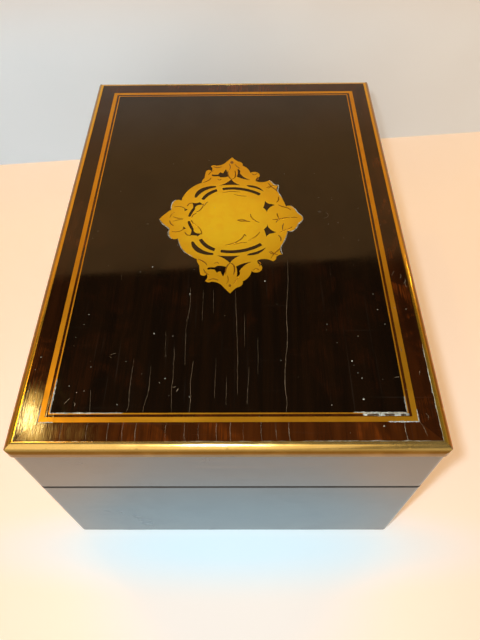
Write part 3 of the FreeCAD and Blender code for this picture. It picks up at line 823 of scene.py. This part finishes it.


# engraved lines on the ornament, in dark brass painted as the shade in the grooves: (width, points); the veins
# are cut the same on both its halves
engraving = {
    "lift": 0.01 * mm,
    "height": 0.04 * mm,
    "broad": 1.9,
    "steps": 6,
    "strokes": (
        (0.50, (-3.4, -22.2), (1.6, -20.8), (5.4, -18.2), (7.6, -15.2), (8.2, -13.2)),
        (0.34, (8.2, -13.2), (8.8, -14.2), (9.4, -15.2)),
        (0.42, (10.2, -19.0), (14.0, -16.2), (16.4, -13.6), (17.6, -11.4)),
        (0.50, (12.0, 4.2), (12.4, 1.6), (13.6, -0.6), (15.2, -2.2), (17.6, -3.6)),
        (0.60, (3.8, -1.4), (6.2, -2.2), (8.6, -2.2), (12.0, -2.8)),
        (0.34, (4.0, -1.2), (7.0, -0.8), (9.6, -1.8)),
        (0.34, (-6.0, 23.4), (0.0, 24.6), (6.0, 23.8)),
        (0.34, (-14.6, 15.4), (-16.2, 13.4), (-17.0, 11.0)),
        (0.55, (25.4, -1.2), (29.4, -0.8), (33.0, 0.2), (36.6, 0.6)),
        (0.45, (28.6, 4.6), (28.8, 2.6), (29.6, -0.4)),
        (0.40, (30.0, -1.0), (28.4, -2.2), (27.6, -3.8)),
        (0.45, (32.4, -4.2), (31.6, -7.0), (31.4, -10.0)),
        (0.36, (36.8, 0.6), (39.4, 0.8), (41.4, 0.2)),
        (0.36, (-36.2, 2.0), (-33.0, 0.6), (-29.6, 0.2)),
        (0.32, (-36.0, -2.2), (-33.0, -1.0), (-29.6, -0.4)),
        (0.36, (-9.4, 36.6), (-7.6, 35.6), (-6.8, 36.8)),
        (0.36, (-9.4, -36.6), (-7.6, -35.6), (-6.8, -36.8)),
        (0.36, (22.6, 27.4), (24.0, 29.0), (25.6, 29.4)),
        (0.36, (22.6, -27.4), (24.0, -29.0), (25.6, -29.4)),
        (1.30, (0.0, 54.6), (0.0, 53.2), (0.0, 51.8)),
        (0.90, (0.0, -54.0), (0.0, -53.0), (0.0, -52.0)),
    ),
    "veins": (
        (0.45, (-17.5, 13.5), (-18, 10.5), (-20, 7), (-22, 6)),
        (0.45, (-21.5, 5), (-23.5, 3.5), (-24.5, 1)),
        (0.40, (-38, 1), (-37, 4), (-35, 6)),
        (0.36, (-36, 10.5), (-33, 11), (-30, 10), (-28.5, 7.5)),
        (0.50, (-28, 11), (-26.5, 13.5), (-24.5, 14)),
        (0.34, (1.5, 22), (5.5, 20.5), (10, 20)),
        (0.36, (-2, 52), (-1, 49), (-1.5, 45.5)),
        (0.36, (2, 51.5), (3.5, 49), (5.5, 47)),
        (0.40, (-15.5, 40.5), (-14, 43.5), (-12, 45)),
        (0.40, (13, 42), (15, 40.5), (17, 42)),
        (0.45, (16, 35), (17.5, 36.5), (16.5, 39)),
        (0.45, (23.5, 33), (25.5, 29.5), (28.5, 26), (30.5, 23)),
        (0.45, (23.5, 27), (25.5, 29), (28, 30)),
        (0.45, (29.5, 12), (32, 10.5), (35.5, 9), (37.5, 7)),
        (0.45, (28.5, 14), (30, 16.5), (30, 19.5)),
        (0.45, (-19, 33), (-17, 34), (-14.5, 36), (-13.5, 38)),
        (0.50, (-2.5, 45), (-2.5, 41), (-1.5, 38), (0, 36)),
        (0.50, (0, 36), (2, 38), (2.5, 41.5), (2, 45)),
        (0.45, (-12.5, 49), (-9.5, 48), (-6.5, 49)),
    ),
}


def makeEngraving():
    mesh = bmesh.new()
    mirrored = []
    for width, *points in engraving["veins"]:
        mirrored.append((width, *[(front, -along) for front, along in points]))
    for width, *points in (*engraving["strokes"], *engraving["veins"], *mirrored):
        places = [onLid(front, along, engraving["lift"]) for front, along in points]
        path = smoothPath(places, engraving["steps"])
        drawLine(mesh, path, engraving["broad"] * width * mm, engraving["height"], blunt=0.08)
    return finishPiece("engraved_strokes", mesh, engravingShadeBrass, "lid")


# dust and paint specks, read off the picture: (column, row, radius), then many small ones by chance
specks = {
    "placed": (
        (364, 399, 0.7), (352, 361, 0.4), (377.5, 309.5, 0.3), (265, 281, 0.4), (406, 309, 0.3),
        (190, 294, 0.5), (154, 333.5, 0.4), (84, 324.5, 0.25), (89, 314.5, 0.3), (152.5, 267, 0.4),
        (84, 391, 0.25), (76.5, 392.5, 0.25), (165, 378.5, 0.25), (117, 404.5, 0.25), (362, 378, 0.3),
        (327, 324, 0.25), (358, 336, 0.3), (189.5, 397, 0.3), (41, 357, 0.3), (28, 391, 0.3),
        (34, 401, 0.35), (69, 386, 0.3), (91, 367, 0.25), (373, 294, 0.25), (385, 324, 0.25),
        (384, 426, 0.35),
    ),
    "loose": 64,
    "looseFront": (-98, 98),
    "looseAlong": (-142, 60),
    "looseRadius": (0.08, 0.20),
    "height": 0.06 * mm,
    "uneven": 0.35,
    "drawnOut": (0.8, 1.5),
}


def makeSpecks():
    mesh = bmesh.new()
    spots = [(seenAt(column, row), radius) for column, row, radius in specks["placed"]]
    for count in range(specks["loose"]):
        spot = onLid(dice.uniform(*specks["looseFront"]), dice.uniform(*specks["looseAlong"]))
        spots.append((spot, dice.uniform(*specks["looseRadius"])))
    for spot, radius in spots:
        ball = bmesh.ops.create_icosphere(mesh, subdivisions=1, radius=1.0)["verts"]
        for vert in ball:
            vert.co *= 1 + specks["uneven"] * (dice.random() - 0.5)
        length = radius * mm * dice.uniform(*specks["drawnOut"])
        size = Matrix.Diagonal((length, radius * mm, specks["height"], 1))
        turn = Matrix.Rotation(dice.uniform(0, math.pi), 4, "Z")
        bmesh.ops.transform(mesh, matrix=Matrix.Translation(spot) @ turn @ size, verts=ball)
    return finishPiece("dust_specks", mesh, oldPolish, "lid")


# pale scuffs and painted glints, read off the picture: (column, row, length, angle), and a dark pit with a
# faint rim; the strokes at columns 393 to 406, rows 273 to 285 are painted glints on the front border
scuffsAndGlints = {
    "strokes": (
        (113, 354, 3.2, 20), (110, 357, 2.0, -35), (177.5, 390, 2.4, 60), (174, 387, 1.8, 15),
        (67, 401, 4.2, 55), (74, 404, 2.4, 110), (420, 373, 2.6, 80), (400.5, 349, 3.0, 100),
        # the strokes at (404, 281), (400, 276), (393, 273) and (406, 285) are painted glints
        (404, 281, 4.0, 70), (400, 276, 3.4, 80), (147.5, 224, 2.2, 5), (427, 416, 3.0, 100),
        (393, 273, 4.0, 60), (406, 285, 3.5, 100), (397, 377, 3.0, 10), (23, 419, 5.0, 100),
        (24, 429, 4.0, 80), (32, 432, 3.4, 105), (43, 430, 3.0, 85),
    ),
    "width": 0.28 * mm,
    "bend": 0.2,
    "steps": 5,
    "pit": (319.5, 211.5, 0.9 * mm),
    "pitStretch": 1.3,
    "pitHeight": 0.03 * mm,
    "rim": (324, 215, 2.6 * mm),
    "rimAngles": range(-100, 70, 15),
}


def acrossLid(angle, length):
    return Vector((math.sin(angle), -math.cos(angle), 0)) * length


def makeScuffsAndGlints():
    mesh = bmesh.new()
    for column, row, length, angle in scuffsAndGlints["strokes"]:
        middle = seenAt(column, row, cracks["lift"])
        reach = acrossLid(math.radians(angle), length * mm / 2)
        bend = acrossLid(0.0, scuffsAndGlints["bend"] * length * mm * dice.uniform(-1, 1))
        path = smoothPath([middle - reach, middle + bend, middle + reach], scuffsAndGlints["steps"])
        drawLine(mesh, path, scuffsAndGlints["width"], cracks["height"], blunt=0.1, rough=0.8)
    column, row, radius = scuffsAndGlints["rim"]
    middle = seenAt(column, row, cracks["lift"])
    rim = [middle + acrossLid(math.radians(angle), radius) for angle in scuffsAndGlints["rimAngles"]]
    drawLine(mesh, rim, scuffsAndGlints["width"] / 2, cracks["height"], blunt=0.1)
    finishPiece("scuffsAndGlints", mesh, crackFillingAndGlints, "lid")
    pit = bmesh.new()
    column, row, radius = scuffsAndGlints["pit"]
    ball = bmesh.ops.create_icosphere(pit, subdivisions=2, radius=1.0)["verts"]
    size = Matrix.Diagonal((radius, radius * scuffsAndGlints["pitStretch"], scuffsAndGlints["pitHeight"], 1))
    bmesh.ops.transform(pit, matrix=Matrix.Translation(seenAt(column, row)) @ size, verts=ball)
    finishPiece("pit", pit, slotShadow, "lid")


# dark lines where the moulding is mitred, following its rounded section on the diagonal
mitre = {
    "upper": 4.4 * mm,
    "foot": 0.72 * mm,
    "plan": 4.2 * mm,
    "inner": 3.2 * mm,
    "width": 0.32 * mm,
    "height": 0.05 * mm,
    "steps": 8,
}


def mitreProfile():
    side = mitre["plan"] * (1 - math.sqrt(0.5))
    profile = []
    for step in range(mitre["steps"] + 1):
        inset = mitre["inner"] + (side - mitre["inner"]) * step / mitre["steps"]
        rise = math.sqrt(mitre["upper"] ** 2 - (mitre["upper"] - inset) ** 2)
        profile.append((inset, boxHigh.z - mitre["upper"] + rise, rise / mitre["upper"]))
    top = profile[-1][1]
    bottom = mouldingFoot + mitre["foot"]
    for step in range(1, mitre["steps"] + 1):
        profile.append((side, top + (bottom - top) * step / mitre["steps"], 0.0))
    return profile


def makeMitreLines():
    mesh = bmesh.new()
    for signX in (-1, 1):
        for signY in (-1, 1):
            outward = Vector((signX, signY, 0)).normalized()
            corner = Vector((signX * boxHigh.x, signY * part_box("moulding_back")[1].y, 0))
            path, normals = [], []
            for inset, height, climb in mitreProfile():
                path.append(corner - Vector((signX * inset, signY * inset, -height)))
                normals.append((outward * math.sqrt(1 - climb ** 2) + up * climb).normalized())
            drawLine(mesh, path, mitre["width"], mitre["height"], normals, blunt=0.3, rough=0.6)
    finishPiece("mitre_lines", mesh, slotShadow, "lid")


# slots across the screw heads of the plates and hinges
slotLook = {"length": 3.8 * mm, "width": 0.7 * mm, "height": 0.04 * mm, "head": 2.3 * mm, "steps": 8}


def makeSlots():
    rimY = sum(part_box("strike_screws"), Vector()).y / 2
    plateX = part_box("strike_screws")[1].x - slotLook["head"]
    hinge = {half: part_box(f"{half}_hinge_screws") for half in ("case", "lid")}
    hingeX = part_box("hinge_pin_right")
    hingeY = sum(hinge["case"], Vector()).y / 2
    middle, third = (hingeX[0].x + hingeX[1].x) / 2, (hingeX[1].x - hingeX[0].x) / 3
    heads = [(sign * (middle + share * third), hingeY) for sign in (-1, 1) for share in (-1, 0, 1)]
    levels = {
        "case": (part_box("lock_rim_plate")[1].z, hinge["case"][1].z),
        "lid": (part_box("strike_screws")[0].z, hinge["lid"][0].z),
    }
    for half, (plateZ, hingeZ) in levels.items():
        mesh = bmesh.new()
        places = [Vector((sign * plateX, rimY, plateZ)) for sign in (-1, 1)]
        places += [Vector((x, y, hingeZ)) for x, y in heads]
        for spot in places:
            turn = dice.uniform(0, math.pi)
            reach = Vector((math.cos(turn), math.sin(turn), 0)) * slotLook["length"] / 2
            steps = slotLook["steps"]
            path = [spot + reach * (2 * step / steps - 1) for step in range(steps + 1)]
            drawLine(mesh, path, slotLook["width"], slotLook["height"], blunt=0.9)
        finishPiece(f"{half}_screw_slots", mesh, slotShadow, half)


makeCracks()
makePolish()
makeLostString()
makeOrnamentPolish()
makeEngraving()
makeSpecks()
makeScuffsAndGlints()
print("lid details made")
makeMitreLines()
makeSlots()
print("brass details made")


# stage: pale floor, a cloth hanging close behind the far end and soft lamps
stageLook = {
    "floor": (0.90, 0.86, 0.83, 1),
    "floorPatch": (0.87, 0.84, 0.82, 1),
    # painted light on the floor: a cool pool, a paler front band and warm light further out
    "paintedCoolPool": (0.07, 0.28, 0.40, 1),
    "paintedFrontLight": (0.31, 0.25, 0.20, 1),
    "paintedWarmLight": (0.53, 0.275, 0.10, 1),
    "pool": (-0.16, 0.0, 0.0),
    "poolShape": (1.0, 0.165, 1.0),
    "poolReach": (0.004, 0.036),
    "frontReach": (0.055, 0.12),
    "reach": 1.6,
}
backdropLook = {
    "cloth": (0.80, 0.81, 0.82, 1),
    # the fold colour is painted shade of the cloth's soft folds, laid in random patches
    "foldShade": (0.72, 0.73, 0.74, 1),
    # the warm top is painted warm light, in the cloth's colour and in its lift
    "paintedWarmTop": (0.64, 0.39, 0.18, 1),
    "liftLeft": (0.18, 0.22, 0.25, 1),
    "liftRight": (0.31, 0.23, 0.16, 1),
    "paintedWarmLift": (0.24, 0.115, 0.03, 1),
    "warmSpan": (0.11, 0.31),
    "sideSpan": (-0.25, 0.25),
    "place": 0.2575,
    "lean": -0.0975,
    "top": 0.487,
    "slope": -0.031,
}


def clothMaterial(name, first, second):
    material, tree, shader, place = newMaterial(name, {"Specular IOR Level": 0.1, "Emission Strength": 1.0})
    tone = noise(tree, place, 6.0, 2.0)
    colour = mixColour(tree, spread(tree, tone, 0.3, 0.7), first, second)
    rays = put(tree, "LightPath").outputs
    seen = calc(tree, "MAXIMUM", rays["Is Camera Ray"], rays["Is Glossy Ray"])
    seen = calc(tree, "MAXIMUM", seen, rays["Is Transmission Ray"])
    tree.links.new(spread(tree, tone, 0.3, 0.7, 0.8, 0.9), shader["Roughness"])
    return material, tree, shader, place, colour, seen


# the floor carries painted light for camera, gloss and transmission rays: a cool pool close to the near end, a
# paler band in front and warm light further out
def makeFloor():
    material, tree, shader, place, colour, seen = clothMaterial(
        "floorCloth", stageLook["floor"], stageLook["floorPatch"])
    away = spread(tree, distance(tree, place, stageLook["pool"]), *stageLook["frontReach"])
    lift = mixColour(tree, away, stageLook["paintedFrontLight"], stageLook["paintedWarmLight"])
    flat = stretched(tree, place, stageLook["poolShape"])
    away = spread(tree, distance(tree, flat, stageLook["pool"]), *stageLook["poolReach"])
    lift = mixColour(tree, away, stageLook["paintedCoolPool"], lift)
    tree.links.new(colour, shader["Base Color"])
    tree.links.new(mixColour(tree, seen, (0, 0, 0, 1), lift), shader["Emission Color"])
    mesh = bmesh.new()
    bmesh.ops.create_grid(mesh, x_segments=2, y_segments=2, size=stageLook["reach"])
    return mesh, material


# the backdrop has painted warm light towards its top and painted light cooler at its left and warmer at its
# right, and is clear from behind
def makeBackdrop():
    material, tree, shader, place, colour, seen = clothMaterial(
        "backdropCloth", backdropLook["cloth"], backdropLook["foldShade"])
    axes = put(tree, "SeparateXYZ", {"Vector": place}).outputs
    paintedWarmTop = spread(tree, axes["Z"], *backdropLook["warmSpan"])
    across = spread(tree, axes["Y"], *backdropLook["sideSpan"])
    lift = mixColour(tree, across, backdropLook["liftRight"], backdropLook["liftLeft"])
    lift = mixColour(tree, paintedWarmTop, lift, backdropLook["paintedWarmLift"])
    tree.links.new(mixColour(tree, paintedWarmTop, colour, backdropLook["paintedWarmTop"]), shader["Base Color"])
    tree.links.new(mixColour(tree, seen, (0, 0, 0, 1), lift), shader["Emission Color"])
    principled = next(node for node in tree.nodes if node.type == "BSDF_PRINCIPLED").outputs["BSDF"]
    behind = put(tree, "NewGeometry").outputs["Backfacing"]
    clear = put(tree, "BsdfTransparent").outputs["BSDF"]
    shown = put(tree, "MixShader", {0: behind, 1: principled, 2: clear}).outputs["Shader"]
    output = next(node for node in tree.nodes if node.type == "OUTPUT_MATERIAL")
    tree.links.new(shown, output.inputs["Surface"])
    mesh = bmesh.new()
    bmesh.ops.create_grid(mesh, x_segments=1, y_segments=1, size=stageLook["reach"])
    bmesh.ops.rotate(mesh, verts=mesh.verts, matrix=Matrix.Rotation(-math.pi / 2, 3, "Y"))
    for vert in mesh.verts:
        top = backdropLook["top"] + backdropLook["slope"] * vert.co.y
        vert.co.z = top if vert.co.z > 0 else 0.0
        vert.co.x = backdropLook["place"] + backdropLook["lean"] * vert.co.y
    return mesh, material


def makeStage():
    for name, (mesh, material) in {"floor": makeFloor(), "backdrop": makeBackdrop()}.items():
        data = bpy.data.meshes.new(name)
        mesh.to_mesh(data)
        mesh.free()
        data.materials.append(material)
        thing = bpy.data.objects.new(name, data)
        bpy.context.scene.collection.objects.link(thing)


lamps = {
    "keyLamp": {
        "place": (-0.248, 0.022, 0.42),
        "aim": (-0.02, 0, 0.1),
        "size": (0.016, 0.016),
        "power": 1.0,
        "colour": (0.86, 0.96, 1.0),
    },
    "softBox": {
        "place": (-0.95, 0.35, 1.35),
        "aim": (0, 0, 0.05),
        "size": (1.5, 1.5),
        "power": 8.0,
        "colour": (1.0, 0.88, 0.74),
    },
    "warmLamp": {
        "place": (0.312, 0.524, 1.113),
        "aim": (0.312, 0.524, 0),
        "size": (0.06, 0.022),
        "power": 0.42,
        "colour": (1.0, 0.70, 0.24),
    },
    "edgeGlow": {
        "place": (0.326, 0.521, 1.113),
        "aim": (0.326, 0.521, 0),
        "size": (0.11, 0.034),
        "power": 0.24,
        "colour": (1.0, 0.56, 0.10),
    },
    "endGlow": {
        "place": (0.273, 0.497, 1.113),
        "aim": (0.273, 0.497, 0),
        "size": (0.04, 0.04),
        "power": 0.10,
        "colour": (1.0, 0.58, 0.12),
    },
    "endGlint": {
        "place": (0.273, 0.414, 1.113),
        "aim": (0.273, 0.414, 0),
        "size": (0.03, 0.008),
        "power": 0.006,
        "colour": (1.0, 0.58, 0.12),
    },
    "farGlint": {
        "place": (0.273, 0.384, 1.113),
        "aim": (0.273, 0.384, 0),
        "size": (0.03, 0.010),
        "power": 0.005,
        "colour": (1.0, 0.58, 0.12),
    },
    "sideLamp": {
        "place": (0.255, -0.445, 0.33),
        "aim": (-0.045, -0.10, 0.144),
        "size": (0.022, 0.022),
        "power": 0.07,
        "colour": (1.0, 0.84, 0.36),
    },
}


def makeLamps():
    for name, look in lamps.items():
        data = bpy.data.lights.new(name, "AREA")
        data.shape = "RECTANGLE"
        data.size, data.size_y = look["size"]
        data.energy = look["power"]
        data.color = look["colour"]
        lamp = bpy.data.objects.new(name, data)
        bpy.context.scene.collection.objects.link(lamp)
        lamp.location = look["place"]
        lamp.visible_camera = False
        lamp.rotation_euler = (Vector(look["aim"]) - lamp.location).to_track_quat("-Z", "Y").to_euler()


# the room: pale near the horizon, dim and warm overhead
roomLook = {"pale": (0.56, 0.49, 0.41, 1), "dim": (0.040, 0.024, 0.013, 1), "fade": (0.30, 0.62)}


def makeRoom():
    world = bpy.data.worlds.new("room")
    bpy.context.scene.world = world
    world.use_nodes = True
    tree = world.node_tree
    tree.nodes.clear()
    height = put(tree, "SeparateXYZ", {"Vector": put(tree, "TexCoord").outputs["Generated"]}).outputs["Z"]
    colour = mixColour(tree, spread(tree, height, *roomLook["fade"]), roomLook["pale"], roomLook["dim"])
    sky = put(tree, "Background", {"Color": colour, "Strength": 1.0})
    put(tree, "OutputWorld", {"Surface": sky.outputs["Background"]})


# camera at the height and angle of the picture
def makeCamera():
    data = bpy.data.cameras.new("camera")
    data.lens = cameraLook["lens"]
    data.sensor_width = cameraLook["sensor"]
    data.clip_start = cameraLook["clip"]
    camera = bpy.data.objects.new("camera", data)
    bpy.context.scene.collection.objects.link(camera)
    camera.location = cameraLook["place"]
    camera.rotation_euler = [math.radians(angle) for angle in cameraLook["turn"]]
    bpy.context.scene.camera = camera


makeStage()
makeLamps()
makeRoom()
makeCamera()
bpy.context.scene.view_settings.view_transform = "Standard"
print("stage, lamps and camera made")
